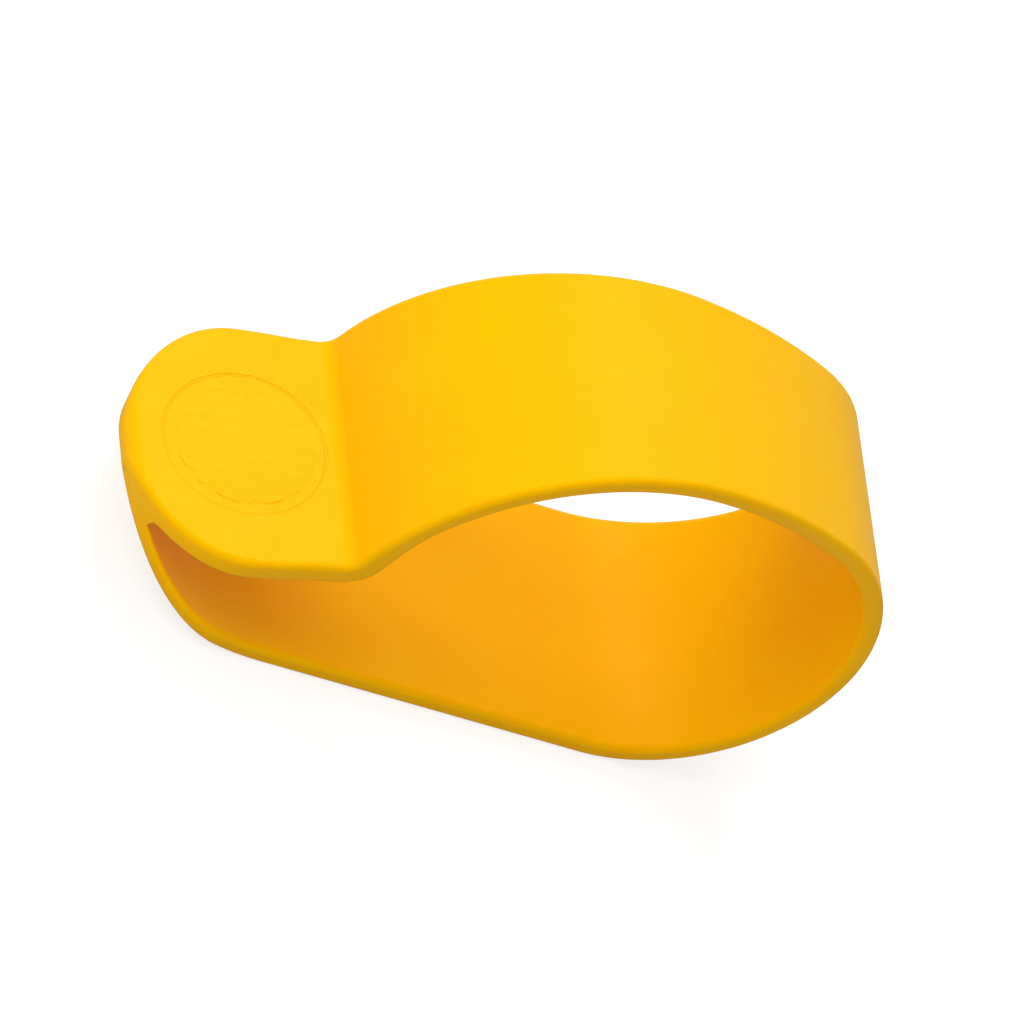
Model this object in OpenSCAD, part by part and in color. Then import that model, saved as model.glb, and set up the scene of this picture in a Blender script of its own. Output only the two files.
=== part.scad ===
/* [Loop] */
// Radius of the crown, the outer surface just past the crease
crown_r = 28.7; // [26:0.1:31]
// Heading of the crown where it leaves the head
crown_start = 84.5; // [81:0.5:88]
// Angle that the crown turns through
crown_turn = 87; // [83:0.5:91]
// Radius of the shoulder between the crown and the heel
shoulder_r = 52; // [46:0.5:58]
// Angle that the shoulder turns through
shoulder_turn = 20.5; // [17:0.5:24]
// Radius of the heel, the tight end across from the head
heel_r = 20.8; // [19:0.1:23]
// Length of the straight stretch that the loop rests on
flat_length = 40; // [37:0.1:43]
// Radius of the bend that climbs from the flat to the tip of the head
bend_r = 28.9; // [27:0.1:31]
// Angle that the bend turns through before it meets the head
bend_turn = 53; // [50:0.5:56]

/* [Band] */
// Thickness of the band
band_t = 2.3; // [1.9:0.1:2.5]
// Width where the band leaves the head
band_w = 29; // [27:0.1:30]
// Width at the waist of the band
waist_w = 23.8; // [20:0.1:27]
// Distance along the band from the crease to the waist
waist_at = 61; // [52:1:70]
// Width of the straight stretch
flat_w = 30.1; // [28:0.1:31]
// Radius of the band's rounded edges
edge_r = 0.8; // [0.5:0.05:0.95]

/* [Head] */
// Thickness of the head
head_t = 2.9; // [2.8:0.05:3.4]
// Width of the head
head_w = 30.1; // [29:0.1:32]
// Length of the head's rounded end
head_round = 13; // [12.9:0.1:14]
// How pointed the rounded end is, where 0.5 is an ellipse
head_nose = 0.6; // [0.5:0.01:0.7]
// Distance from the tip to the middle of the rounded end
head_centre = 12.7; // [12.5:0.1:12.8]
// Radius of the fold at the tip
tip_r = 2.1; // [2:0.05:2.4]
// Thickness of the wall round the fold
tip_t = 1.7; // [1.6:0.05:1.9]
// Radius of the hollow crease between the head and the band
crease_r = 1.9; // [1.5:0.1:2.5]
// Radius of the fillet that fills the inside of the fold
web_r = 3; // [2:0.1:4]

/* [Cap] */
// Radius of the round cap that closes the pocket
cap_r = 8.6; // [8.4:0.1:8.7]
// Thickness of the cap
cap_t = 0.9; // [0.7:0.05:1]
// Width of the groove round the cap
groove_w = 0.3; // [0.2:0.05:0.4]
// Depth of the groove round the cap
groove_d = 0.2; // [0.1:0.05:0.4]
// Distance between the ribs of the cap's waffle grid
grid_pitch = 1.7; // [1.4:0.1:2.2]
// Width of a waffle rib
rib_w = 0.5; // [0.3:0.05:0.7]
// Height of a waffle rib
rib_h = 0.1; // [0.08:0.01:0.2]
// Radius of the round waffle field
grid_r = 7.4; // [6.8:0.1:8]

/* [Transponder] */
// Radius of the glass-fibre disc
disc_r = 7.6; // [7.4:0.1:7.8]
// Thickness of the glass-fibre disc
disc_t = 0.4; // [0.3:0.05:0.5]
// Thickness of the copper tracks
track_t = 0.07; // [0.05:0.01:0.1]
// Width of a coil track
track_w = 0.35; // [0.25:0.05:0.45]
// Distance from one coil turn to the next
track_pitch = 0.75; // [0.6:0.05:0.85]
// Number of coil turns
coil_turns = 5; // [3:1:5]
// Radius of the outermost coil turn
coil_r = 6.9; // [6.7:0.1:7]
// Radius of a through pin
pin_r = 0.15; // [0.1:0.01:0.17]
// Side of the square chip
chip_w = 1.1; // [0.8:0.1:1.4]
// Thickness of the chip
chip_t = 0.2; // [0.15:0.01:0.25]
// Side of a square contact pad
pad_w = 0.8; // [0.6:0.1:1]
// Gap between the two contact pads
pad_gap = 0.5; // [0.3:0.05:0.6]
// Radius of the resin drop over the chip
drop_r = 2; // [1.8:0.1:2.4]
// Height of the resin drop
drop_h = 0.45; // [0.4:0.01:0.5]
// Radius of the resin drop's level top
drop_top_r = 1.3; // [1.2:0.1:1.6]
// Clearance between pieces that lie in one another
fit = 0.05; // [0.03:0.01:0.08]

/* [Hidden] */
wide_step = 4;      // largest turn between two sections of the band on a wide arc
tight_step = 12;    // the same on the fold and in the crease
head_steps = 14;    // sections along the head
corner_steps = 5;   // facets on each rounded edge
thin_run = 9;       // length over which the band thins out past the crease
swell_run = 1;      // length over which the head thickens behind the fold
fold_blend = 90;    // turn of the fold over which the width goes over to the head's
web_inset = 0.2;    // how far the fillet's sides lie inside the walls' sides
web_sink = 1.2;     // how deep the fillet's corners lie in the walls
nose_crowd = 1.5;   // how strongly the head's sections crowd towards its nose
over = 0.5;         // how far a cut runs past the face that it opens
$fn = 96;

// The outline runs clockwise round the loop, and a heading is its direction in degrees from +X.
function ahead(h) = [cos(h), sin(h)];
function inward(h) = [sin(h), -cos(h)];
function arc_point(c, r, h) = c - r * inward(h);
function arc_length(r, turn) = r * turn * PI / 180;
function ease(x) = let (u = min(max(x, 0), 1)) u * u * (3 - 2 * u);
function mix(a, b, x) = a + (b - a) * ease(x);
function bearing(v) = atan2(v[1], v[0]);
function unit(v) = v / norm(v);

// Arc centres, worked out from the flat through the heel and the shoulder to the crown
crown_out = crown_start - crown_turn;
shoulder_out = crown_out - shoulder_turn;
heel_out = -180;
heel_c = [flat_length / 2, heel_r];
shoulder_c = arc_point(heel_c, heel_r - shoulder_r, shoulder_out);
crown_c = arc_point(shoulder_c, shoulder_r - crown_r, crown_out);
bend_c = [-flat_length / 2, bend_r];

// The head lies on the straight line from the tip to the crease.
tip = arc_point(bend_c, bend_r, heel_out - bend_turn);
crease = arc_point(crown_c, crown_r, crown_start);
head_tilt = bearing(crease - tip);
head_dir = ahead(head_tilt);
head_up = -inward(head_tilt);

// Centre of a round at height h above the head's line and at distance d from the centre c
function round_centre(c, h, d) =
    let (q = c - tip, off = q * head_up - h)
    tip + (q * head_dir - sqrt(d * d - off * off)) * head_dir + h * head_up;
fold_c = round_centre(bend_c, -tip_r, bend_r - tip_r);
hollow_c = round_centre(crown_c, crease_r, crown_r + crease_r);
bend_out = bearing(fold_c - bend_c) - 90;
crown_in = bearing(hollow_c - crown_c) - 90;
head_in = fold_c + tip_r * head_up;
head_out = hollow_c - crease_r * head_up;
head_run = norm(head_out - head_in);

// Distance of a point from the foremost edge of the tip, along the head
function from_tip(p) = (p - fold_c) * head_dir + tip_r;
// Share of the full width that the rounded end of the head leaves at distance d from the tip
function round_share(d) =
    let (x = min(max((head_centre - d) / head_round, 0), 1)) pow(1 - x * x, head_nose);

shoulder_s = arc_length(crown_r, crown_in - crown_out);
heel_s = shoulder_s + arc_length(shoulder_r, shoulder_turn);
flat_s = heel_s + arc_length(heel_r, shoulder_out - heel_out);
function band_width(s) = s < waist_at
    ? mix(band_w, waist_w, s / waist_at)
    : mix(waist_w, flat_w, (s - waist_at) / (flat_s - waist_at));

// A section is [point on the outer surface, heading, thickness, width].
function turns(from, to, step) =
    let (n = ceil(abs(from - to) / step))
    [for (i = [0:n - 1]) from + (to - from) * i / n];
function band_arc(c, r, from, to, s) =
    [for (h = turns(from, to, wide_step))
        let (run = s + arc_length(r, from - h))
        [arc_point(c, r, h), h, mix(head_t, band_t, run / thin_run), band_width(run)]];
function head_width(d) = mix(head_w, band_w, (d - head_centre) / (from_tip(head_out) - head_centre));

crown_part = band_arc(crown_c, crown_r, crown_in, crown_out, 0);
shoulder_part = band_arc(shoulder_c, shoulder_r, crown_out, shoulder_out, shoulder_s);
heel_part = band_arc(heel_c, heel_r, shoulder_out, heel_out, heel_s);
flat_part = [[[flat_length / 2, 0], heel_out, band_t, flat_w]];
bend_part = [for (h = turns(heel_out, bend_out, wide_step))
    let (p = arc_point(bend_c, bend_r, h))
    [p, h, mix(band_t, tip_t, (heel_out - h) / bend_turn), flat_w * round_share(from_tip(p))]];
fold_part = [for (h = turns(bend_out, head_tilt - 360, tight_step))
    let (p = arc_point(fold_c, tip_r, h))
    [p, h, tip_t, mix(flat_w, head_w, (bend_out - h) / fold_blend) * round_share(from_tip(p))]];
head_part = [for (i = [0:head_steps - 1])
    let (run = head_run * pow(i / head_steps, nose_crowd), p = head_in + run * head_dir, d = from_tip(p))
    [p, head_tilt, mix(tip_t, head_t, run / swell_run), head_width(d) * round_share(d)]];
hollow_part = [for (h = turns(head_tilt, crown_in, tight_step))
    [arc_point(hollow_c, -crease_r, h), h, head_t, band_w]];
sections = concat(crown_part, shoulder_part, heel_part, flat_part, bend_part, fold_part, head_part, hollow_part);

// Rounded rectangle across the band: y over the width, n inward from the outer surface
function outline(t, w) =
    let (r = min(edge_r, t / 2 - fit), y = w / 2 - r)
    [for (k = [0:3], i = [0:corner_steps])
        let (a = 90 * (k + i / corner_steps))
        [(k == 0 || k == 3 ? y : -y) + r * cos(a), (k < 2 ? t - r : r) + r * sin(a)]];
function placed(s) = [for (q = outline(s[2], s[3]))
    let (p = s[0] + q[1] * inward(s[1])) [p[0], q[0], p[1]]];

// Closed loft through all the sections
module loft(list) {
    rings = [for (s = list) placed(s)];
    n = len(rings);
    m = len(rings[0]);
    polyhedron(
        points = [for (ring = rings) each ring],
        faces = [for (i = [0:n - 1], j = [0:m - 1])
            let (a = i * m, b = (i + 1) % n * m, k = (j + 1) % m)
            each [[a + j, a + k, b + k], [a + j, b + k, b + j]]]);
}

// Fillet inside the fold, between the under side of the head and the inner face of the bend
web_c = round_centre(bend_c, -head_t - web_r, bend_r - tip_t - web_r);
web_reach = web_r + web_sink;
fold_reach = tip_r - tip_t + web_sink;
web_corners = [
    fold_c + fold_reach * head_up,
    web_c + web_reach * head_up,
    web_c + web_reach * unit(web_c - bend_c),
    fold_c + fold_reach * unit(fold_c - bend_c),
    fold_c + fold_reach * unit(fold_c - web_c)
];
web_half = [for (i = [0:head_steps])
    let (d = head_centre * i / head_steps)
    [d - head_centre, head_w / 2 * round_share(d) - web_inset]];

// Levels below the head's top face, in the frame of the pocket
pocket_c = head_in + (head_centre - tip_r) * head_dir;
cap_face = -rib_h;
cap_seat = cap_face - cap_t;
stack_top = cap_seat - fit;
disc_top = stack_top - drop_h;
disc_under = disc_top - disc_t;
pocket_floor = disc_under - track_t - fit;
pad_x = (pad_gap + pad_w) / 2;
coil_end = coil_r - coil_turns * track_pitch;

module in_pocket() {
    translate([pocket_c[0], 0, pocket_c[1]])
        rotate([0, -head_tilt, 0])
            children();
}

module disc_between(r, low, high) {
    translate([0, 0, low])
        cylinder(r = r, h = high - low);
}

module slab(low, high) {
    translate([0, 0, low])
        linear_extrude(high - low)
            children();
}

// Half of a ring of track, on the side of +Y or -Y
module half_turn(x, r, side) {
    translate([x, 0])
        intersection() {
            difference() {
                circle(r + track_w / 2);
                circle(r - track_w / 2);
            }
            translate([-2 * r, side > 0 ? 0 : -2 * r])
                square([4 * r, 2 * r]);
        }
}

module strip(from, to, width) {
    translate([from, -width / 2])
        square([to - from, width]);
}

module web() {
    intersection() {
        rotate([90, 0, 0])
            linear_extrude(head_w, center = true)
                difference() {
                    polygon(web_corners);
                    translate(web_c)
                        circle(web_r);
                }
        in_pocket()
            slab(-head_centre, 0)
                polygon(concat(web_half, [for (i = [head_steps:-1:0]) [web_half[i][0], -web_half[i][1]]]));
    }
}

module band() {
    color("gold")
        difference() {
            union() {
                loft(sections);
                web();
            }
            in_pocket() {
                disc_between(disc_r + fit, pocket_floor, over);
                disc_between(cap_r + fit, cap_seat, over);
                disc_between(cap_r + groove_w, -groove_d, over);
            }
        }
}

module head_cap() {
    ribs = floor(grid_r / grid_pitch);
    color("gold")
        in_pocket() {
            disc_between(cap_r, cap_seat, cap_face);
            slab(cap_face - fit, 0)
                intersection() {
                    circle(grid_r);
                    union()
                        for (i = [-ribs:ribs], turn = [0, 90])
                            rotate(turn)
                                translate([-grid_r, i * grid_pitch - rib_w / 2])
                                    square([2 * grid_r, rib_w]);
                }
        }
}

module carrier_disc() {
    color("seagreen")
        in_pocket()
            difference() {
                disc_between(disc_r, disc_under, disc_top);
                for (x = [-coil_r, pad_x])
                    translate([x, 0, 0])
                        disc_between(pin_r + fit, disc_under - over, disc_top + over);
            }
}

module antenna_coil() {
    color("chocolate")
        in_pocket()
            slab(disc_top, disc_top + track_t) {
                for (i = [0:coil_turns - 1]) {
                    half_turn(0, coil_r - i * track_pitch, 1);
                    half_turn(track_pitch / 2, coil_r - (i + 0.5) * track_pitch, -1);
                }
                strip(-coil_end - track_w / 2, -pad_x - pad_w / 2 - fit, track_w);
            }
}

module bridge_track() {
    color("chocolate")
        in_pocket()
            slab(disc_under - track_t, disc_under)
                strip(-coil_r - track_w / 2, pad_x + track_w / 2, track_w);
}

module through_pins() {
    color("peru")
        in_pocket()
            for (x = [-coil_r, pad_x])
                translate([x, 0, 0])
                    disc_between(pin_r, disc_under, disc_top);
}

module contact_pads() {
    color("khaki")
        in_pocket()
            slab(disc_top, disc_top + track_t)
                for (x = [-pad_x, pad_x])
                    translate([x, 0])
                        square(pad_w, center = true);
}

module chip() {
    color("dimgray")
        in_pocket()
            slab(disc_top + track_t, disc_top + track_t + chip_t)
                square(chip_w, center = true);
}

module resin_drop() {
    hollow_h = track_t + fit;
    color("black")
        in_pocket()
            difference() {
                translate([0, 0, disc_top])
                    cylinder(r1 = drop_r, r2 = drop_top_r, h = drop_h);
                slab(disc_top - over, disc_top + hollow_h) {
                    strip(-drop_r - over, -pad_x, track_w + 2 * fit);
                    strip(-pad_x - pad_w / 2 - fit, pad_x + pad_w / 2 + fit, pad_w + 2 * fit);
                }
                slab(disc_top - over, disc_top + track_t + chip_t + fit)
                    square(chip_w + 2 * fit, center = true);
            }
}

band();
head_cap();
carrier_disc();
antenna_coil();
bridge_track();
through_pins();
contact_pads();
chip();
resin_drop();
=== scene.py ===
"""Closed silicone wristband with a transponder in its head: its soft pieces, finishes, studio and camera.

Lengths are kept in millimetres, as on the mould drawing, and go over to metres where a mesh is made.
The frame is the model's own: +Z up from the face that the loop rests on, +Y across the band, and +X
along the straight stretch, from the head's end towards the heel.
"""

import logging
import math
from dataclasses import dataclass
from enum import Enum
from typing import Callable, Optional, Union

import bmesh
import bpy
from mathutils import Matrix, Vector


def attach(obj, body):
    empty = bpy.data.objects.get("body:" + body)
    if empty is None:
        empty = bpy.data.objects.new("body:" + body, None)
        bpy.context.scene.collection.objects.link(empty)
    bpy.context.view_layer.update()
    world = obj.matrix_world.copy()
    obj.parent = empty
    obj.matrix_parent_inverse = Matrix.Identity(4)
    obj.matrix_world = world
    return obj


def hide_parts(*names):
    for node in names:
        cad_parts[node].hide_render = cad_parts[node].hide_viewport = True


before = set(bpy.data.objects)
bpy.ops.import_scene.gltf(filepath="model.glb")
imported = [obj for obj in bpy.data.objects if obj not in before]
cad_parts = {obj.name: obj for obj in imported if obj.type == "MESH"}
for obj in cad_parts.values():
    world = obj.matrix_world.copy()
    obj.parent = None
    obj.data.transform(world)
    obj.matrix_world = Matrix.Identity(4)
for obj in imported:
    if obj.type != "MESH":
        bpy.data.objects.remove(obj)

LOG = logging.getLogger("wristband")
MM = 0.001
# Shading: edges that turn by more degrees than this stay sharp, and how strongly flat faces pull.
SHARP_TURN = 35.0
FLAT_PULL = 60
# The wave texture multiplies its scale by this.
WAVE_FACTOR = 20
# Noise seldom leaves this span round its middle.
NOISE_LOW, NOISE_HIGH = 0.3, 0.7

Socket = bpy.types.NodeSocket
Node = bpy.types.Node
Tree = bpy.types.NodeTree
Colour = tuple[float, float, float, float]
Triple = tuple[float, float, float]


class Part(Enum):
    """Elements of a mesh that a test can pick in edit mode."""

    VERT = "VERT"
    EDGE = "EDGE"
    FACE = "FACE"


# ------------------------------------------------------------------------------------------------
# Workshop helpers
# ------------------------------------------------------------------------------------------------


def linear(code: str) -> Colour:
    """Turn an sRGB hex colour into linear light.

    Args:
        code: Six hex digits after a hash sign.

    Returns:
        Red, green, blue and an alpha of one.
    """
    shares = [int(code[i : i + 2], 16) / 255 for i in (1, 3, 5)]
    red, green, blue = [s / 12.92 if s <= 0.04045 else ((s + 0.055) / 1.055) ** 2.4 for s in shares]
    return (red, green, blue, 1.0)


def grey(level: float) -> Colour:
    """Neutral colour of a linear level, with an alpha of one."""
    return (level, level, level, 1.0)


def clear_selection() -> None:
    """Leave nothing selected, so that the next operator acts on its own object alone."""
    bpy.ops.object.select_all(action="DESELECT")


def only(piece: bpy.types.Object) -> None:
    """Make one piece the active and only selected object.

    Args:
        piece: The object to work on.
    """
    clear_selection()
    piece.select_set(True)
    bpy.context.view_layer.objects.active = piece


def pick(piece: bpy.types.Object, part: Part, test: Callable[[Vector], bool]) -> int:
    """Select the elements of a mesh in edit mode whose middle passes a test.

    Args:
        piece: The object in edit mode.
        part: The kind of element to select.
        test: Says of a point whether its element is wanted.

    Returns:
        The number of elements selected.
    """
    bpy.ops.mesh.select_mode(type=part.value)
    bpy.ops.mesh.select_all(action="DESELECT")
    mesh = bmesh.from_edit_mesh(piece.data)
    found = 0
    if part is Part.VERT:
        for vert in mesh.verts:
            vert.select = test(vert.co)
            found += vert.select
    elif part is Part.EDGE:
        for edge in mesh.edges:
            edge.select = all(test(vert.co) for vert in edge.verts)
            found += edge.select
    else:
        for face in mesh.faces:
            face.select = test(face.calc_center_median())
            found += face.select
    mesh.select_flush_mode()
    bmesh.update_edit_mesh(piece.data)
    return found


def modify(piece: bpy.types.Object, kind: str, **settings: object) -> None:
    """Add a modifier to a piece and apply it.

    Args:
        piece: The object to change.
        kind: The modifier's type.
        **settings: Values for the modifier's own settings.
    """
    only(piece)
    bpy.ops.object.modifier_add(type=kind)
    modifier = piece.modifiers[-1]
    for name, value in settings.items():
        setattr(modifier, name, value)
    bpy.ops.object.modifier_apply(modifier=modifier.name)


def combine(piece: bpy.types.Object, other: bpy.types.Object, operation: str) -> None:
    """Join, cut or trim a piece with another closed solid, which is used up.

    Args:
        piece: The object that stays.
        other: The solid to add, cut away or trim to.
        operation: UNION, DIFFERENCE or INTERSECT.
    """
    modify(piece, "BOOLEAN", operation=operation, solver="EXACT", object=other)
    bpy.data.objects.remove(other, do_unlink=True)


def draw_strip(rungs: list[tuple[Vector, float]]) -> bpy.types.Object:
    """Draw a strip across Y, one extrusion for each rung, and mark its long rims for rounding.

    Args:
        rungs: Place of each rung as X and Z, and its width, in millimetres.

    Returns:
        The strip.
    """
    side_length = 1.0
    clear_selection()
    bpy.ops.mesh.primitive_plane_add(size=side_length)
    strip = bpy.context.object
    bpy.ops.object.mode_set(mode="EDIT")
    still = (0.0, 0.0, 0.0)
    for (place, width), side in zip(rungs, (-side_length / 2, side_length / 2)):
        pick(strip, Part.EDGE, lambda co: abs(co.x - side) < MM and abs(co.z) < MM)
        bpy.ops.transform.resize(value=(1.0, width * MM, 1.0), center_override=still)
        bpy.ops.transform.translate(value=(place[0] * MM - side, 0.0, place[1] * MM))
    last, last_width = rungs[1]
    for place, width in rungs[2:]:
        step = (place - last) * MM
        bpy.ops.mesh.extrude_region_move(TRANSFORM_OT_translate={"value": (step[0], 0.0, step[1])})
        bpy.ops.transform.resize(value=(1.0, width / last_width, 1.0), center_override=still)
        last, last_width = place, width
    for way in (1, -1):
        pick(strip, Part.EDGE, lambda co: co.y * way > 0)
        bpy.ops.transform.edge_bevelweight(value=1.0)
    bpy.ops.object.mode_set(mode="OBJECT")
    return strip


def smooth(piece: bpy.types.Object) -> None:
    """Shade a piece smooth, with flat faces kept flat.

    Args:
        piece: The object to shade.
    """
    only(piece)
    bpy.ops.object.shade_smooth_by_angle(angle=math.radians(SHARP_TURN))
    modify(piece, "WEIGHTED_NORMAL", keep_sharp=True, weight=FLAT_PULL)


# ------------------------------------------------------------------------------------------------
# The line that the loop follows
# ------------------------------------------------------------------------------------------------


def ahead(heading: float) -> Vector:
    """Unit vector of a heading in degrees, as X and Z."""
    return Vector((math.cos(math.radians(heading)), math.sin(math.radians(heading))))


def inward(heading: float) -> Vector:
    """Unit vector from the outer surface into the wall at a heading, as X and Z."""
    return Vector((math.sin(math.radians(heading)), -math.cos(math.radians(heading))))


def bearing(way: Vector) -> float:
    """Heading of a vector in degrees."""
    return math.degrees(math.atan2(way[1], way[0]))


def mix(first: float, last: float, share: float) -> float:
    """Blend two values with a soft start and end.

    Args:
        first: The value at a share of zero.
        last: The value at a share of one.
        share: How far along; it is held between zero and one.

    Returns:
        The blended value.
    """
    held = min(max(share, 0.0), 1.0)
    return first + (last - first) * held * held * (3 - 2 * held)


def turns(start: float, end: float, step: float) -> list[float]:
    """Headings from a start up to, but without, an end.

    Args:
        start: First heading.
        end: Heading at which the next stretch begins.
        step: Largest turn between two headings.

    Returns:
        Evenly spaced headings.
    """
    count = math.ceil(abs(start - end) / step)
    return [start + (end - start) * i / count for i in range(count)]


@dataclass(frozen=True)
class Station:
    """One cross-section of the loop: where it crosses the outer and the inner surface, and its width."""

    outer: Vector
    inner: Vector
    width: float


@dataclass(frozen=True)
class Arc:
    """A round stretch of the outer surface, which runs clockwise."""

    centre: Vector
    radius: float

    def at(self, heading: float) -> Vector:
        """Point of the arc at a heading."""
        return self.centre - self.radius * inward(heading)


@dataclass
class LoopLine:
    """The outer surface of the loop as arcs and straights, and how its wall and width change along it."""

    # Outer surface, clockwise from the crease: radii and lengths, and turns in degrees
    crown_r: float = 28.7
    crown_start: float = 84.5
    crown_turn: float = 87.0
    shoulder_r: float = 52.0
    shoulder_turn: float = 20.5
    heel_r: float = 20.8
    flat_length: float = 40.0
    bend_r: float = 28.9
    bend_turn: float = 53.0
    # Wall and widths of the band, with the run from the crease at which it is narrowest
    band_t: float = 2.3
    band_w: float = 29.0
    waist_w: float = 23.8
    waist_at: float = 61.0
    flat_w: float = 30.1
    # Head: wall, width, radius and power of its rounded end, and its centre's distance from the tip
    head_t: float = 2.9
    head_w: float = 30.1
    head_round: float = 13.0
    head_nose: float = 0.6
    head_centre: float = 12.7
    # Fold at the tip, crease behind the head, run over which the wall thins out, fillet inside the fold
    tip_r: float = 2.1
    tip_t: float = 1.7
    crease_r: float = 1.9
    thin_run: float = 9.0
    web_r: float = 0.9
    # Mesh: turns between sections in degrees, numbers of sections, how they crowd towards the tip, and
    # the rounds of work that settle a wall
    wide_step: float = 3.0
    tight_step: float = 7.5
    nose_steps: int = 10
    open_steps: int = 18
    neck_steps: int = 5
    nose_crowd: float = 1.5
    wall_rounds: int = 5

    def __post_init__(self) -> None:
        """Work out the arc centres and the head's line."""
        self.crown_out = self.crown_start - self.crown_turn
        self.shoulder_out = self.crown_out - self.shoulder_turn
        self.heel_out = -180.0
        self.heel = Arc(Vector((self.flat_length / 2, self.heel_r)), self.heel_r)
        shoulder_c = Arc(self.heel.centre, self.heel_r - self.shoulder_r).at(self.shoulder_out)
        self.shoulder = Arc(shoulder_c, self.shoulder_r)
        crown_c = Arc(shoulder_c, self.shoulder_r - self.crown_r).at(self.crown_out)
        self.crown = Arc(crown_c, self.crown_r)
        self.bend = Arc(Vector((-self.flat_length / 2, self.bend_r)), self.bend_r)
        self.tip = self.bend.at(self.heel_out - self.bend_turn)
        crease = self.crown.at(self.crown_start)
        self.head_tilt = bearing(crease - self.tip)
        self.head_dir = ahead(self.head_tilt)
        self.head_up = -inward(self.head_tilt)
        fold_c = self._round_centre(self.bend.centre, -self.tip_r, self.bend_r - self.tip_r)
        hollow_c = self._round_centre(crown_c, self.crease_r, self.crown_r + self.crease_r)
        self.fold = Arc(fold_c, self.tip_r)
        self.hollow = Arc(hollow_c, -self.crease_r)
        self.bend_out = bearing(fold_c - self.bend.centre) - 90
        self.crown_in = bearing(hollow_c - crown_c) - 90
        self.head_in = fold_c + self.tip_r * self.head_up
        self.head_out = hollow_c - self.crease_r * self.head_up
        web_c = self._round_centre(
            self.bend.centre, -self.head_t - self.web_r, self.bend_r - self.tip_t - self.web_r
        )
        self.web = Arc(web_c, self.web_r)
        web_end = self.bend.centre + (self.bend_r - self.tip_t) * (web_c - self.bend.centre).normalized()
        self.web_near = self.from_tip(web_c)
        self.web_far = self.from_tip(web_end)
        self.web_turn = self.heel_out - self._heading(web_end)
        self.apex = self.web_near - self.web_r
        self.shoulder_s = self._length(self.crown_r, self.crown_in - self.crown_out)
        self.heel_s = self.shoulder_s + self._length(self.shoulder_r, self.shoulder_turn)
        self.flat_s = self.heel_s + self._length(self.heel_r, self.shoulder_out - self.heel_out)

    def _round_centre(self, centre: Vector, height: float, distance: float) -> Vector:
        """Centre of a round beside the head's line.

        Args:
            centre: Centre of the arc that the round runs into.
            height: Height of the round's centre above the head's line.
            distance: Distance between the two centres.

        Returns:
            The round's centre.
        """
        way = centre - self.tip
        off = way.dot(self.head_up) - height
        along = way.dot(self.head_dir) - math.sqrt(distance * distance - off * off)
        return self.tip + along * self.head_dir + height * self.head_up

    @staticmethod
    def _length(radius: float, turn: float) -> float:
        """Length of an arc from its radius and its turn in degrees."""
        return radius * math.radians(turn)

    def from_tip(self, place: Vector) -> float:
        """Distance of a point from the foremost edge of the tip, along the head."""
        return (place - self.fold.centre).dot(self.head_dir) + self.tip_r

    def round_share(self, distance: float) -> float:
        """Share of the full width that the rounded end leaves at a distance from the tip."""
        across = min(max((self.head_centre - distance) / self.head_round, 0.0), 1.0)
        return (1 - across * across) ** self.head_nose

    def band_width(self, run: float) -> float:
        """Width of the band, which narrows to its waist and widens again to the flat stretch.

        Args:
            run: Distance from the crease along the outer surface.

        Returns:
            The width.
        """
        if run < self.waist_at:
            return mix(self.band_w, self.waist_w, run / self.waist_at)
        return mix(self.waist_w, self.flat_w, (run - self.waist_at) / (self.flat_s - self.waist_at))

    def head_width(self, distance: float) -> float:
        """Width of the head at a distance from the tip, before its end is rounded."""
        reach = self.from_tip(self.head_out) - self.head_centre
        return mix(self.head_w, self.band_w, (distance - self.head_centre) / reach)

    def _heading(self, place: Vector) -> float:
        """Heading of the bend's circle at a point, in the turn that follows the flat."""
        return (bearing(place - self.bend.centre) - 90) % 360 - 360

    def _bend_wall(self, heading: float) -> float:
        """Wall of the bend, which thins out up to the fillet inside the fold."""
        return mix(self.band_t, self.tip_t, (self.heel_out - heading) / self.web_turn)

    def _at(self, arc: Arc, distance: float, side: int) -> Vector:
        """Point of an arc's circle at a distance from the tip.

        Args:
            arc: The arc whose circle is followed.
            distance: Distance from the tip, along the head.
            side: 1 for the upper half of the circle and -1 for the under half.

        Returns:
            The point.
        """
        along = distance - self.from_tip(arc.centre)
        height = math.sqrt(max(arc.radius * arc.radius - along * along, 0.0))
        return arc.centre + along * self.head_dir + side * height * self.head_up

    def top(self, distance: float) -> Vector:
        """Point of the head's top face, or of the fold before it.

        Args:
            distance: Distance from the tip, along the head.

        Returns:
            The point.
        """
        if distance < self.tip_r:
            return self._at(self.fold, distance, 1)
        return self.head_in + (distance - self.tip_r) * self.head_dir

    def under(self, distance: float) -> Vector:
        """Point of the head's under face, or of the fillet before it.

        Args:
            distance: Distance from the tip, along the head.

        Returns:
            The point.
        """
        if distance < self.web_near:
            return self._at(self.web, distance, 1)
        return self.top(distance) - self.head_t * self.head_up

    def bottom(self, distance: float) -> Vector:
        """Point of the bend's outer face, or of the fold before it.

        Args:
            distance: Distance from the tip, along the head.

        Returns:
            The point.
        """
        if distance < self.from_tip(self.bend.at(self.bend_out)):
            return self._at(self.fold, distance, -1)
        return self._at(self.bend, distance, -1)

    def inside(self, distance: float) -> Vector:
        """Point of the bend's inner face, or of the fillet before it.

        The wall there depends on the heading and the heading on the wall, so a few rounds settle both.

        Args:
            distance: Distance from the tip, along the head.

        Returns:
            The point.
        """
        if distance < self.web_far:
            return self._at(self.web, distance, -1)
        wall = self.tip_t
        for _ in range(self.wall_rounds):
            place = self._at(Arc(self.bend.centre, self.bend_r - wall), distance, -1)
            wall = self._bend_wall(self._heading(place))
        return place

    def _walled(self, arc: Arc, heading: float, wall: float, width: float) -> Station:
        """Station square to an arc."""
        place = arc.at(heading)
        return Station(place, place + wall * inward(heading), width)

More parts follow.
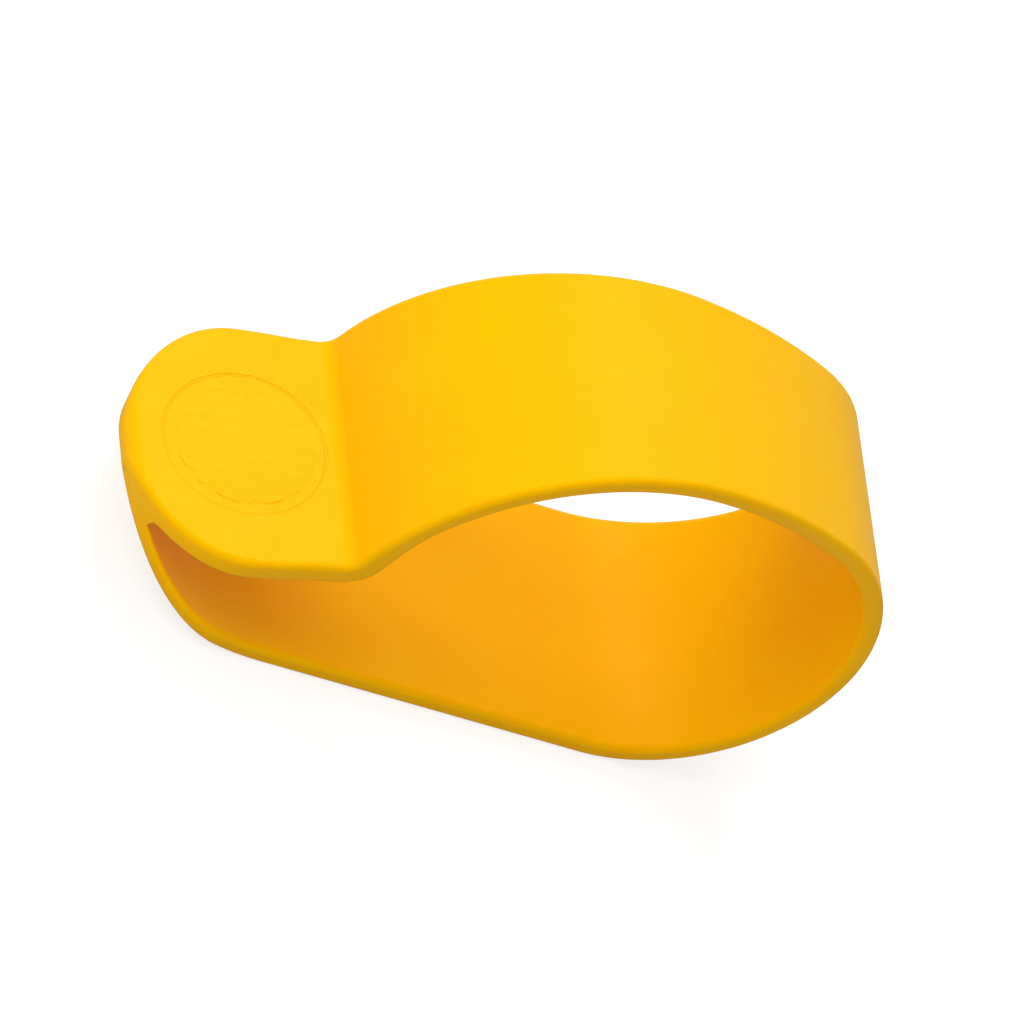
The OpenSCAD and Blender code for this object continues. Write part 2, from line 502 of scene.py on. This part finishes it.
    def _band_arc(self, arc: Arc, start: float, end: float, run: float) -> list[Station]:
        """Stations along one arc of the band.

        Args:
            arc: The arc to follow.
            start: Heading at its start.
            end: Heading at its end.
            run: Distance of its start from the crease.

        Returns:
            The stations, without the one at the end.
        """
        stations = []
        for heading in turns(start, end, self.wide_step):
            along = run + self._length(arc.radius, start - heading)
            wall = mix(self.head_t, self.band_t, along / self.thin_run)
            stations.append(self._walled(arc, heading, wall, self.band_width(along)))
        return stations

    def nose_levels(self) -> list[float]:
        """Distances from the tip at which the nose is cut into sections, up to the fillet's hollow."""
        return [self.apex * (i / self.nose_steps) ** self.nose_crowd for i in range(self.nose_steps + 1)]

    def stations(self) -> list[Station]:
        """All cross-sections round the opening, from the fillet's hollow over the head and back to it.

        Returns:
            The stations in order.
        """
        depth, steps = self.head_centre - self.apex, self.open_steps
        levels = [self.apex + depth * (i / steps) ** self.nose_crowd for i in range(steps + 1)]
        neck = self.from_tip(self.head_out) - self.head_centre
        necks = [self.head_centre + neck * i / self.neck_steps for i in range(1, self.neck_steps)]
        line = [
            Station(self.top(d), self.under(d), self.head_width(d) * self.round_share(d))
            for d in levels + necks
        ]
        for heading in turns(self.head_tilt, self.crown_in, self.tight_step):
            line.append(self._walled(self.hollow, heading, self.head_t, self.band_w))
        line += self._band_arc(self.crown, self.crown_in, self.crown_out, 0.0)
        line += self._band_arc(self.shoulder, self.crown_out, self.shoulder_out, self.shoulder_s)
        line += self._band_arc(self.heel, self.shoulder_out, self.heel_out, self.heel_s)
        line.append(self._walled(self.heel, self.heel_out, self.band_t, self.flat_w))
        bend_end = self._heading(self.bottom(self.head_centre))
        for heading in turns(self.heel_out, bend_end, self.wide_step):
            line.append(self._walled(self.bend, heading, self._bend_wall(heading), self.flat_w))
        line += [
            Station(self.bottom(d), self.inside(d), self.flat_w * self.round_share(d))
            for d in levels[::-1]
        ]
        return line

    def nose(self) -> list[tuple[Vector, float]]:
        """Outer rungs of the solid nose, from the bend round the fold to the head's top face.

        Returns:
            The place and the width of each rung.
        """
        levels = self.nose_levels()
        below = [(self.bottom(d), self.flat_w * self.round_share(d)) for d in levels[:0:-1]]
        return below + [(self.top(d), self.head_w * self.round_share(d)) for d in levels]


# ------------------------------------------------------------------------------------------------
# The pocket in the head, with its groove and its cap
# ------------------------------------------------------------------------------------------------


@dataclass
class Pocket:
    """The round pocket in the head: its levels lie below the head's top face, at its own centre."""

    line: LoopLine
    # Cap, groove round it and ribs on it
    cap_r: float = 8.6
    cap_t: float = 0.9
    groove_w: float = 0.3
    groove_d: float = 0.08
    rib_h: float = 0.07
    # Inlay: its disc, its tracks and its drop
    disc_r: float = 7.6
    disc_t: float = 0.4
    track_t: float = 0.07
    drop_h: float = 0.45
    # Clearance, how far a cutting tool stands out over the face, and sides of each circle
    fit: float = 0.05
    over: float = 0.5
    sides: int = 128

    def __post_init__(self) -> None:
        """Work out the levels and the matrix that sets the pocket in the head."""
        self.cap_face = -self.rib_h
        self.cap_seat = self.cap_face - self.cap_t
        disc_under = self.cap_seat - self.fit - self.drop_h - self.disc_t
        self.floor = disc_under - self.track_t - self.fit
        middle = self.line.head_in + (self.line.head_centre - self.line.tip_r) * self.line.head_dir
        turn = Matrix.Rotation(-math.radians(self.line.head_tilt), 4, "Y")
        self.place = Matrix.Translation((middle[0] * MM, 0.0, middle[1] * MM)) @ turn

    def set_in(self, piece: bpy.types.Object) -> None:
        """Move a piece made at the pocket's centre into the head, and take the move into its mesh.

        Args:
            piece: The object to place.
        """
        only(piece)
        piece.matrix_world = self.place
        bpy.ops.object.transform_apply(location=True, rotation=True, scale=True)

    def cutter(self) -> bpy.types.Object:
        """Make the stepped solid that cuts the groove, the cap's seat and the pocket.

        Returns:
            The cutter, in its place.
        """
        clear_selection()
        tall = self.over + self.groove_d
        bpy.ops.mesh.primitive_cylinder_add(
            vertices=self.sides,
            radius=(self.cap_r + self.groove_w) * MM,
            depth=tall * MM,
            location=(0.0, 0.0, (self.over - tall / 2) * MM),
        )
        tool = bpy.context.object
        bpy.ops.object.transform_apply(location=True, rotation=True, scale=True)
        bpy.ops.object.mode_set(mode="EDIT")
        pick(tool, Part.FACE, lambda co: co.z < (-self.groove_d + self.fit) * MM)
        for step_in, step_down in (
            (self.groove_w - self.fit, -self.groove_d - self.cap_seat),
            (self.cap_r - self.disc_r, self.cap_seat - self.floor),
        ):
            bpy.ops.mesh.inset(thickness=step_in * MM)
            bpy.ops.mesh.extrude_region_move(TRANSFORM_OT_translate={"value": (0.0, 0.0, -step_down * MM)})
        bpy.ops.object.mode_set(mode="OBJECT")
        self.set_in(tool)
        return tool

    def on_rim(self, co: Vector) -> bool:
        """Say whether a point lies on the groove's outer rim, on the head's top face.

        Args:
            co: The point, in metres.

        Returns:
            Whether it does.
        """
        own = self.place.inverted() @ co
        radius = math.hypot(own.x, own.y)
        near = self.fit * MM / 2
        return abs(own.z) < near and abs(radius - (self.cap_r + self.groove_w) * MM) < near


# ------------------------------------------------------------------------------------------------
# Finishes
# ------------------------------------------------------------------------------------------------


class Shading:
    """The nodes of a material or of the room, which start empty."""

    def __init__(self, owner: Union[bpy.types.Material, bpy.types.World]) -> None:
        """Clear the owner's nodes.

        Args:
            owner: The new material or world.
        """
        owner.use_nodes = True
        self.owner = owner
        self.tree: Tree = owner.node_tree
        self.tree.nodes.clear()

    def node(self, kind: str, values: Optional[dict] = None, **settings: object) -> Node:
        """Add a node, set it up and link it.

        Args:
            kind: The node's type.
            values: For each input by name or number, a plain value or the socket that feeds it.
            **settings: Values for the node's own settings.

        Returns:
            The new node.
        """
        new = self.tree.nodes.new(kind)
        for name, value in settings.items():
            setattr(new, name, value)
        for key, value in (values or {}).items():
            if isinstance(value, Socket):
                self.tree.links.new(value, new.inputs[key])
            else:
                new.inputs[key].default_value = value
        return new

    def dress(
        self,
        tint: tuple[Socket, str, str],
        sheen: tuple[Socket, float, float],
        relief: tuple[Socket, float],
        others: dict,
    ) -> bpy.types.Material:
        """Finish a material whose colour, sheen and relief each follow a pattern.

        Args:
            tint: The pattern, and the hex colour at its low and at its high end.
            sheen: The pattern, and the roughness at its low and at its high end.
            relief: The pattern, and how far it stands out in millimetres.
            others: Values for more inputs of the surface shader, by name.

        Returns:
            The finished material.
        """
        share, low, high = tint
        tints = {"Factor": share, "A": linear(low), "B": linear(high)}
        height, depth = relief
        rise = {"Height": height, "Distance": depth * MM}
        values = {
            "Base Color": self.node("ShaderNodeMix", tints, data_type="RGBA").outputs["Result"],
            "Roughness": self.node("ShaderNodeMapRange", span(*sheen)).outputs["Result"],
            "Normal": self.node("ShaderNodeBump", rise).outputs["Normal"],
            **others,
        }
        surface = self.node("ShaderNodeBsdfPrincipled", values).outputs["BSDF"]
        self.node("ShaderNodeOutputMaterial", {"Surface": surface})
        return self.owner


def per_metre(grain: float) -> float:
    """Scale of a noise texture whose largest features have a size in millimetres."""
    return 1 / (grain * MM)


def stripes(pitch: float) -> float:
    """Scale of a wave texture whose stripes have a pitch in millimetres."""
    return 2 * math.pi / (WAVE_FACTOR * pitch * MM)


def span(value: Socket, low: float = 0.0, high: float = 1.0) -> dict:
    """Inputs of a range node that stretches a noise or wave over a span.

    Args:
        value: The socket to stretch.
        low: Result at its low end.
        high: Result at its high end.

    Returns:
        The value for each input by name.
    """
    return {"Value": value, "From Min": NOISE_LOW, "From Max": NOISE_HIGH, "To Min": low, "To Max": high}


@dataclass(frozen=True)
class MouldedSilicone:
    """Pigmented silicone rubber from a blasted mould: an even satin skin that light sinks into a little."""

    pigment: str = "#FFBD00"
    pigment_deep: str = "#FFBA00"
    sheen: str = "#FFC828"
    ior: float = 1.41
    gloss: float = 0.3
    roughness: float = 0.47
    polish: float = 0.04
    cloud_mm: float = 9.0
    patch_mm: float = 4.5
    blast_mm: float = 0.35
    blast_depth_mm: float = 0.006
    blast_detail: float = 3.0
    blast_roughness: float = 0.6
    depth_share: float = 0.25
    depth_mm: float = 1.2
    depth_rgb: Triple = (1.0, 0.35, 0.05)

    def make(self) -> bpy.types.Material:
        """Build the material.

        Returns:
            The finished material.
        """
        silicone = Shading(bpy.data.materials.new("moulded_silicone"))
        place = silicone.node("ShaderNodeTexCoord").outputs["Object"]
        # Pigment is milled in by hand, so the colour drifts very slightly over centimetres.
        drift = {"Vector": place, "Scale": per_metre(self.cloud_mm)}
        cloud = silicone.node("ShaderNodeTexNoise", drift).outputs["Fac"]
        share = silicone.node("ShaderNodeMapRange", span(cloud)).outputs["Result"]
        # Handling polishes some patches of the skin and leaves others dusty.
        handled = {"Vector": place, "Scale": per_metre(self.patch_mm)}
        patch = silicone.node("ShaderNodeTexNoise", handled).outputs["Fac"]
        # The mould's blasted skin is finer than this; it is drawn at the size that still shows.
        blasted = {
            "Vector": place,
            "Scale": per_metre(self.blast_mm),
            "Detail": self.blast_detail,
            "Roughness": self.blast_roughness,
        }
        blast = silicone.node("ShaderNodeTexNoise", blasted).outputs["Fac"]
        return silicone.dress(
            (share, self.pigment, self.pigment_deep),
            (patch, self.roughness - self.polish, self.roughness + self.polish),
            (blast, self.blast_depth_mm),
            {
                "IOR": self.ior,
                "Specular IOR Level": self.gloss,
                "Specular Tint": linear(self.sheen),
                "Subsurface Weight": self.depth_share,
                "Subsurface Radius": self.depth_rgb,
                "Subsurface Scale": self.depth_mm * MM,
            },
        )


@dataclass(frozen=True)
class GlassFibreLaminate:
    """Glass-fibre laminate under green solder mask: the woven cloth shows through as a fine grid."""

    mask: str = "#1F6B45"
    mask_thick: str = "#185639"
    ior: float = 1.52
    yarn_mm: float = 0.5
    yarn_sway: float = 0.3
    weave_depth_mm: float = 0.01
    patch_mm: float = 1.5
    glossy: float = 0.3
    dull: float = 0.42

    def make(self) -> bpy.types.Material:
        """Build the material.

        Returns:
            The finished material.
        """
        laminate = Shading(bpy.data.materials.new("glass_fibre_laminate"))
        place = laminate.node("ShaderNodeTexCoord").outputs["Object"]
        yarn = {"Vector": place, "Scale": stripes(self.yarn_mm), "Distortion": self.yarn_sway}
        warp = laminate.node("ShaderNodeTexWave", yarn, bands_direction="X").outputs["Fac"]
        weft = laminate.node("ShaderNodeTexWave", yarn, bands_direction="Y").outputs["Fac"]
        weave = laminate.node("ShaderNodeMath", {0: warp, 1: weft}, operation="MULTIPLY").outputs[0]
        patches = {"Vector": place, "Scale": per_metre(self.patch_mm)}
        patch = laminate.node("ShaderNodeTexNoise", patches).outputs["Fac"]
        return laminate.dress(
            (weave, self.mask, self.mask_thick),
            (patch, self.glossy, self.dull),
            (weave, self.weave_depth_mm),
            {"IOR": self.ior},
        )


@dataclass(frozen=True)
class EtchedCopper:
    """Rolled copper foil after etching: warm metal with a slightly matt, lightly oxidised skin."""

    bright: str = "#E8A27C"
    oxide: str = "#B46E4B"
    metallic: float = 1.0
    stain_mm: float = 1.2
    stain_detail: float = 4.0
    grain_mm: float = 0.25
    grain_detail: float = 3.0
    grain_depth_mm: float = 0.004
    glossy: float = 0.28
    dull: float = 0.45

    def make(self) -> bpy.types.Material:
        """Build the material.

        Returns:
            The finished material.
        """
        copper = Shading(bpy.data.materials.new("etched_copper"))
        place = copper.node("ShaderNodeTexCoord").outputs["Object"]
        stained = {"Vector": place, "Scale": per_metre(self.stain_mm), "Detail": self.stain_detail}
        stain = copper.node("ShaderNodeTexNoise", stained).outputs["Fac"]
        share = copper.node("ShaderNodeMapRange", span(stain)).outputs["Result"]
        etched = {"Vector": place, "Scale": per_metre(self.grain_mm), "Detail": self.grain_detail}
        grain = copper.node("ShaderNodeTexNoise", etched).outputs["Fac"]
        return copper.dress(
            (share, self.bright, self.oxide),
            (grain, self.glossy, self.dull),
            (grain, self.grain_depth_mm),
            {"Metallic": self.metallic},
        )


@dataclass(frozen=True)
class GoldFlash:
    """Thin gold plating over nickel: pale yellow metal that keeps the pad's fine grain."""

    gold: str = "#EBC878"
    worn: str = "#D9B469"
    metallic: float = 1.0
    grain_mm: float = 0.12
    grain_detail: float = 3.0
    grain_depth_mm: float = 0.002
    patch_mm: float = 0.4
    glossy: float = 0.18
    dull: float = 0.3

    def make(self) -> bpy.types.Material:
        """Build the material.

        Returns:
            The finished material.
        """
        plating = Shading(bpy.data.materials.new("gold_flash_plating"))
        place = plating.node("ShaderNodeTexCoord").outputs["Object"]
        plated = {"Vector": place, "Scale": per_metre(self.grain_mm), "Detail": self.grain_detail}
        grain = plating.node("ShaderNodeTexNoise", plated).outputs["Fac"]
        share = plating.node("ShaderNodeMapRange", span(grain)).outputs["Result"]
        patches = {"Vector": place, "Scale": per_metre(self.patch_mm)}
        patch = plating.node("ShaderNodeTexNoise", patches).outputs["Fac"]
        return plating.dress(
            (share, self.gold, self.worn),
            (patch, self.glossy, self.dull),
            (grain, self.grain_depth_mm),
            {"Metallic": self.metallic},
        )


@dataclass(frozen=True)
class GroundSilicon:
    """Back-ground silicon die: a dark mirror with fine straight grinding marks."""

    die: str = "#6B6E78"
    mark: str = "#585B64"
    metallic: float = 0.8
    mark_mm: float = 0.05
    mark_sway: float = 1.5
    mark_depth_mm: float = 0.001
    glossy: float = 0.2
    dull: float = 0.34

    def make(self) -> bpy.types.Material:
        """Build the material.

        Returns:
            The finished material.
        """
        silicon = Shading(bpy.data.materials.new("ground_silicon"))
        place = silicon.node("ShaderNodeTexCoord").outputs["Object"]
        ground = {"Vector": place, "Scale": stripes(self.mark_mm), "Distortion": self.mark_sway}
        marks = silicon.node("ShaderNodeTexWave", ground, bands_direction="Y").outputs["Fac"]
        return silicon.dress(
            (marks, self.die, self.mark),
            (marks, self.glossy, self.dull),
            (marks, self.mark_depth_mm),
            {"Metallic": self.metallic},
        )


@dataclass(frozen=True)
class EpoxyDrop:
    """Black epoxy set from a drop: glossy, with a faint orange-peel skin and a dull patch or two."""

    resin: str = "#17171A"
    bloom: str = "#222226"
    ior: float = 1.55
    bloom_mm: float = 1.0
    peel_mm: float = 0.6
    peel_detail: float = 1.0
    peel_depth_mm: float = 0.01
    patch_mm: float = 1.4
    glossy: float = 0.16
    dull: float = 0.3

    def make(self) -> bpy.types.Material:
        """Build the material.

        Returns:
            The finished material.
        """
        epoxy = Shading(bpy.data.materials.new("epoxy_drop"))
        place = epoxy.node("ShaderNodeTexCoord").outputs["Object"]
        bloomed = {"Vector": place, "Scale": per_metre(self.bloom_mm)}
        bloom = epoxy.node("ShaderNodeTexNoise", bloomed).outputs["Fac"]
        share = epoxy.node("ShaderNodeMapRange", span(bloom)).outputs["Result"]
        peeled = {"Vector": place, "Scale": per_metre(self.peel_mm), "Detail": self.peel_detail}
        peel = epoxy.node("ShaderNodeTexNoise", peeled).outputs["Fac"]
        patches = {"Vector": place, "Scale": per_metre(self.patch_mm)}
        patch = epoxy.node("ShaderNodeTexNoise", patches).outputs["Fac"]
        return epoxy.dress(
            (share, self.resin, self.bloom),
            (patch, self.glossy, self.dull),
            (peel, self.peel_depth_mm),
            {"IOR": self.ior},
        )


# ------------------------------------------------------------------------------------------------
# Sub-assemblies
# ------------------------------------------------------------------------------------------------


def hand_over(piece: bpy.types.Object, name: str, node: str, finish: bpy.types.Material) -> None:
    """Name a finished silicone piece, dress it and put it in the place of its plain solid.

    Args:
        piece: The finished object.
        name: Its name.
        node: The plain solid that it stands for.
        finish: Its material.
    """
    piece.name = name
    piece.data.name = name
    piece.data.materials.clear()
    piece.data.materials.append(finish)
    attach(piece, "root")
    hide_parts(node)
    LOG.info("%s: %d faces", name, len(piece.data.polygons))


@dataclass
class Band:
    """The one-piece moulding: the loop and the head's shell with the pocket in it."""

    line: LoopLine
    pocket: Pocket
    finish: bpy.types.Material
    # Rounding of the outer edges and of the groove's rim
    edge_r: float = 0.8
    edge_steps: int = 5
    rim_r: float = 0.07
    rim_steps: int = 3
    # Distance within which points count as one, and edge radii that the nose has room for
    near: float = 0.002
    room_share: float = 3.2

    def _between(self, low: float, high: float) -> Callable[[Vector], bool]:
        """Test for points of the nose between two distances from the tip, which count as inside."""
        line, near = self.line, self.near
        return lambda co: low - near < line.from_tip(Vector((co.x, co.z)) / MM) < high + near

    def _walls(self, stations: list[Station]) -> bpy.types.Object:
        """Draw the outer and the inner surface along a stretch and close the sides between them.

        Args:
            stations: The cross-sections of the stretch, in order.

        Returns:
            The stretch, open at both ends.
        """
        outer = draw_strip([(station.outer, station.width) for station in stations])
        inner = draw_strip([(station.inner, station.width) for station in stations])
        for name, strip in (("outer", outer), ("inner", inner)):
            for way in (1, -1):
                side = [vert.index for vert in strip.data.vertices if vert.co.y * way > 0]
                strip.vertex_groups.new(name=f"{name}{way}").add(side, 1.0, "REPLACE")
        only(outer)
        inner.select_set(True)
        bpy.ops.object.join()
        bpy.ops.object.mode_set(mode="EDIT")
        for way in (1, -1):
            bpy.ops.mesh.select_mode(type="VERT")
            bpy.ops.mesh.select_all(action="DESELECT")
            for name in ("outer", "inner"):
                bpy.ops.object.vertex_group_set_active(group=f"{name}{way}")
                bpy.ops.object.vertex_group_select()
            bpy.ops.mesh.bridge_edge_loops()
        bpy.ops.object.mode_set(mode="OBJECT")
        return outer

    def _skin(self) -> bpy.types.Object:
        """Join the stretches and the nose round the loop.

        Returns:
            The band with square edges and open nose sides, in edit mode.
        """
        stations = self.line.stations()
        middle = len(stations) // 2
        band = self._walls(stations[: middle + 1])
        others = [self._walls(stations[middle:]), draw_strip(self.line.nose())]
        only(band)
        for other in others:
            other.select_set(True)
        bpy.ops.object.join()
        bpy.ops.object.mode_set(mode="EDIT")
        bpy.ops.mesh.select_all(action="SELECT")
        bpy.ops.mesh.remove_doubles(threshold=self.near * MM)
        return band

    def _close_nose(self, band: bpy.types.Object) -> None:
        """Close the sides of the solid nose section by section, and ease the rounding where it gets low.

        Args:
            band: The band in edit mode.
        """
        line = self.line
        levels = line.nose_levels()
        for low, high in zip(levels, levels[1:]):
            here = self._between(low, high)
            for way in (1, -1):
                pick(band, Part.VERT, lambda co: here(co) and co.y * way > 0)
                bpy.ops.mesh.edge_face_add()
            room = (line.top(low) - line.bottom(low)).length / (self.room_share * self.edge_r)
            if room < 1:
                pick(band, Part.EDGE, here)
                bpy.ops.transform.edge_bevelweight(value=room - 1)

    def _flatten(self, band: bpy.types.Object) -> None:
        """Make one face of the head's flat top, so that the groove is cut through a plain surface.

        Args:
            band: The band with rounded edges.
        """
        line, near = self.line, self.near * MM
        here = self._between(line.tip_r, line.from_tip(line.head_out))
        to_own = self.pocket.place.inverted()
        only(band)
        bpy.ops.object.mode_set(mode="EDIT")
        pick(band, Part.FACE, lambda co: abs((to_own @ co).z) < near and here(co))
        bpy.ops.mesh.dissolve_faces()
        bpy.ops.object.mode_set(mode="OBJECT")

    def make(self) -> bpy.types.Object:
        """Build, dress and hand over the band.

        Returns:
            The finished piece.
        """
        band = self._skin()
        self._close_nose(band)
        bpy.ops.mesh.select_all(action="SELECT")
        bpy.ops.mesh.normals_make_consistent(inside=False)
        bpy.ops.object.mode_set(mode="OBJECT")
        modify(
            band,
            "BEVEL",
            width=self.edge_r * MM,
            segments=self.edge_steps,
            limit_method="WEIGHT",
            use_clamp_overlap=False,
        )
        self._flatten(band)
        combine(band, self.pocket.cutter(), "DIFFERENCE")
        only(band)
        bpy.ops.object.mode_set(mode="EDIT")
        rim = pick(band, Part.EDGE, self.pocket.on_rim)
        bpy.ops.mesh.bevel(offset=self.rim_r * MM, segments=self.rim_steps, affect="EDGES")
        bpy.ops.object.mode_set(mode="OBJECT")
        LOG.info("groove rim: %d edges rounded", rim)
        smooth(band)
        hand_over(band, "wristband", "band", self.finish)
        return band


@dataclass
class HeadCap:
    """The round cap over the pocket, with a faint waffle of ribs on its face."""

    pocket: Pocket
    finish: bpy.types.Material
    # Waffle: its cells, the widths of the ribs and of their sloped flanks, its radius, its trimming tool
    grid_pitch: float = 1.7
    rib_w: float = 0.5
    slope: float = 0.2
    grid_r: float = 7.4
    trim_h: float = 10.0
    # Rounding of the cap's rim, and share of the clearance round it that the cap takes up
    rim_r: float = 0.07
    rim_steps: int = 4
    glue_share: float = 0.9

    def _waffle(self) -> bpy.types.Object:
        """Press the cells into a grid and give it a back.

        Returns:
            The waffle as a closed solid.
        """
        clear_selection()
        cells = 2 * math.ceil(self.grid_r / self.grid_pitch)
        bpy.ops.mesh.primitive_grid_add(
            x_subdivisions=cells, y_subdivisions=cells, size=cells * self.grid_pitch * MM
        )
        waffle = bpy.context.object
        bpy.ops.object.mode_set(mode="EDIT")
        bpy.ops.mesh.select_mode(type="FACE")
        bpy.ops.mesh.select_all(action="SELECT")
        bpy.ops.mesh.inset(thickness=(self.rib_w / 2 - self.slope / 2) * MM, use_individual=True)
        bpy.ops.mesh.inset(thickness=self.slope * MM, depth=-self.pocket.rib_h * MM, use_individual=True)
        bpy.ops.object.mode_set(mode="OBJECT")
        modify(waffle, "SOLIDIFY", thickness=self.pocket.cap_t / 2 * MM, offset=-1.0)
        clear_selection()
        bpy.ops.mesh.primitive_cylinder_add(
            vertices=self.pocket.sides, radius=self.grid_r * MM, depth=self.trim_h * MM
        )
        combine(waffle, bpy.context.object, "INTERSECT")
        return waffle

    def make(self) -> bpy.types.Object:
        """Build, dress and hand over the cap.

        Returns:
            The finished piece.
        """
        waffle = self._waffle()
        clear_selection()
        low, high = self.pocket.cap_seat * MM, self.pocket.cap_face * MM
        bpy.ops.mesh.primitive_cylinder_add(
            vertices=self.pocket.sides,
            radius=(self.pocket.cap_r + self.glue_share * self.pocket.fit) * MM,
            depth=high - low,
            location=(0.0, 0.0, (low + high) / 2),
        )
        cap = bpy.context.object
        bpy.ops.object.transform_apply(location=True, rotation=True, scale=True)
        bpy.ops.object.mode_set(mode="EDIT")
        pick(cap, Part.EDGE, lambda co: co.z > high - self.pocket.fit * MM)
        bpy.ops.mesh.bevel(offset=self.rim_r * MM, segments=self.rim_steps, affect="EDGES")
        bpy.ops.object.mode_set(mode="OBJECT")
        combine(cap, waffle, "UNION")
        self.pocket.set_in(cap)
        smooth(cap)
        hand_over(cap, "waffle_cap", "head_cap", self.finish)
        return cap


@dataclass(frozen=True)
class Transponder:
    """The inlay sealed in the pocket, whose plain solids keep their shape and get their real finishes."""

    board: GlassFibreLaminate = GlassFibreLaminate()
    foil: EtchedCopper = EtchedCopper()
    plating: GoldFlash = GoldFlash()
    die: GroundSilicon = GroundSilicon()
    drop: EpoxyDrop = EpoxyDrop()

    def dress(self) -> None:
        """Give each of the inlay's solids its material."""
        copper = self.foil.make()
        finishes = {
            "carrier_disc": self.board.make(),
            "antenna_coil": copper,
            "bridge_track": copper,
            "through_pins": copper,
            "contact_pads": self.plating.make(),
            "chip": self.die.make(),
            "resin_drop": self.drop.make(),
        }
        for node, finish in finishes.items():
            solid = bpy.data.objects[node]
            solid.data.materials.clear()
            solid.data.materials.append(finish)
            LOG.info("%s: %s", node, finish.name)


@dataclass(frozen=True)
class SoftBox:
    """A square lamp that faces the object: its place and its side in metres, and its power in watts."""

    name: str
    place: Triple
    power: float
    side: float = 0.4

    def hang(self, target: Vector) -> None:
        """Hang the lamp and turn it to the object.

        Args:
            target: The point that it faces.
        """
        data = bpy.data.lights.new(self.name, "AREA")
        data.shape = "SQUARE"
        data.size = self.side
        data.energy = self.power
        lamp = bpy.data.objects.new(self.name, data)
        bpy.context.scene.collection.objects.link(lamp)
        lamp.location = self.place
        lamp.visible_camera = False
        lamp.rotation_euler = (Vector(self.place) - target).to_track_quat("Z", "Y").to_euler()


@dataclass(frozen=True)
class Studio:
    """Pale floor, soft lamps and the camera, with lengths in metres."""

    # Camera: the point it looks at, its own right and backward directions, and its lens in millimetres
    target: Triple = (0.0018, 0.0, 0.0172)
    right: Triple = (0.8292, -0.0974, 0.5505)
    back: Triple = (-0.5023, -0.5619, 0.6572)
    distance: float = 1.119
    lens: float = 379.6
    sensor: float = 36.0
    clip_start: float = 0.01
    # Floor: its side, its grey as the object sees it, and its grey and its glow as the camera sees them
    floor_size: float = 4.0
    floor_matt: float = 0.5
    floor_seen: float = 0.35
    floor_glow: float = 0.75
    # Light of the room and of the lamps
    ambient: float = 0.57
    boxes: tuple[SoftBox, ...] = (
        SoftBox("key_box", (0.0, 0.48, 0.66), 2.85),
        SoftBox("head_box", (-0.56, 0.0, 0.58), 1.6),
        SoftBox("side_box", (-0.65, -0.4, 0.26), 1.05),
    )

    def floor(self) -> None:
        """Lay the floor: white to the camera, with the object's soft shadow left on it."""
        clear_selection()
        bpy.ops.mesh.primitive_plane_add(size=self.floor_size)
        plane = bpy.context.object
        plane.name = "studio_floor"
        floor = Shading(bpy.data.materials.new("pale_floor"))
        path = floor.node("ShaderNodeLightPath")
        matt = floor.node("ShaderNodeBsdfDiffuse", {"Color": grey(self.floor_matt)})
        seen = floor.node("ShaderNodeBsdfDiffuse", {"Color": grey(self.floor_seen)})
        glow = floor.node("ShaderNodeEmission", {"Color": grey(1.0), "Strength": self.floor_glow})
        lit = floor.node("ShaderNodeAddShader", {0: seen.outputs[0], 1: glow.outputs[0]})
        values = {0: path.outputs["Is Camera Ray"], 1: matt.outputs[0], 2: lit.outputs[0]}
        blend = floor.node("ShaderNodeMixShader", values)
        floor.node("ShaderNodeOutputMaterial", {"Surface": blend.outputs[0]})
        plane.data.materials.append(floor.owner)

    def sky(self) -> None:
        """Light the room evenly, and show it white behind the object."""
        world = bpy.data.worlds.new("studio_room")
        bpy.context.scene.world = world
        room = Shading(world)
        path = room.node("ShaderNodeLightPath")
        plain = room.node("ShaderNodeBackground", {"Color": grey(1.0), "Strength": self.ambient})
        white = room.node("ShaderNodeBackground", {"Color": grey(1.0)})
        values = {0: path.outputs["Is Camera Ray"], 1: plain.outputs[0], 2: white.outputs[0]}
        blend = room.node("ShaderNodeMixShader", values)
        room.node("ShaderNodeOutputWorld", {"Surface": blend.outputs[0]})

    def camera(self) -> None:
        """Stand the camera above the object's near side, with the head to the left."""
        data = bpy.data.cameras.new("camera")
        data.lens = self.lens
        data.sensor_width = self.sensor
        data.clip_start = self.clip_start
        camera = bpy.data.objects.new("camera", data)
        bpy.context.scene.collection.objects.link(camera)
        back = Vector(self.back).normalized()
        right = Vector(self.right)
        right = (right - right.dot(back) * back).normalized()
        up = back.cross(right)
        turn = Matrix((right, up, back)).transposed().to_4x4()
        camera.matrix_world = Matrix.Translation(Vector(self.target) + self.distance * back) @ turn
        bpy.context.scene.camera = camera

    def build(self) -> None:
        """Set up the whole studio."""
        self.camera()
        self.floor()
        self.sky()
        for box in self.boxes:
            box.hang(Vector(self.target))
        bpy.context.scene.view_settings.view_transform = "Standard"


def main() -> None:
    """Build the studio and every piece, and note the sizes."""
    logging.basicConfig(level=logging.INFO, format="%(name)s: %(message)s")
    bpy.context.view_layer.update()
    Studio().build()
    line = LoopLine()
    pocket = Pocket(line)
    silicone = MouldedSilicone().make()
    Band(line, pocket, silicone).make()
    HeadCap(pocket, silicone).make()
    Transponder().dress()


if __name__ == "__main__":
    main()
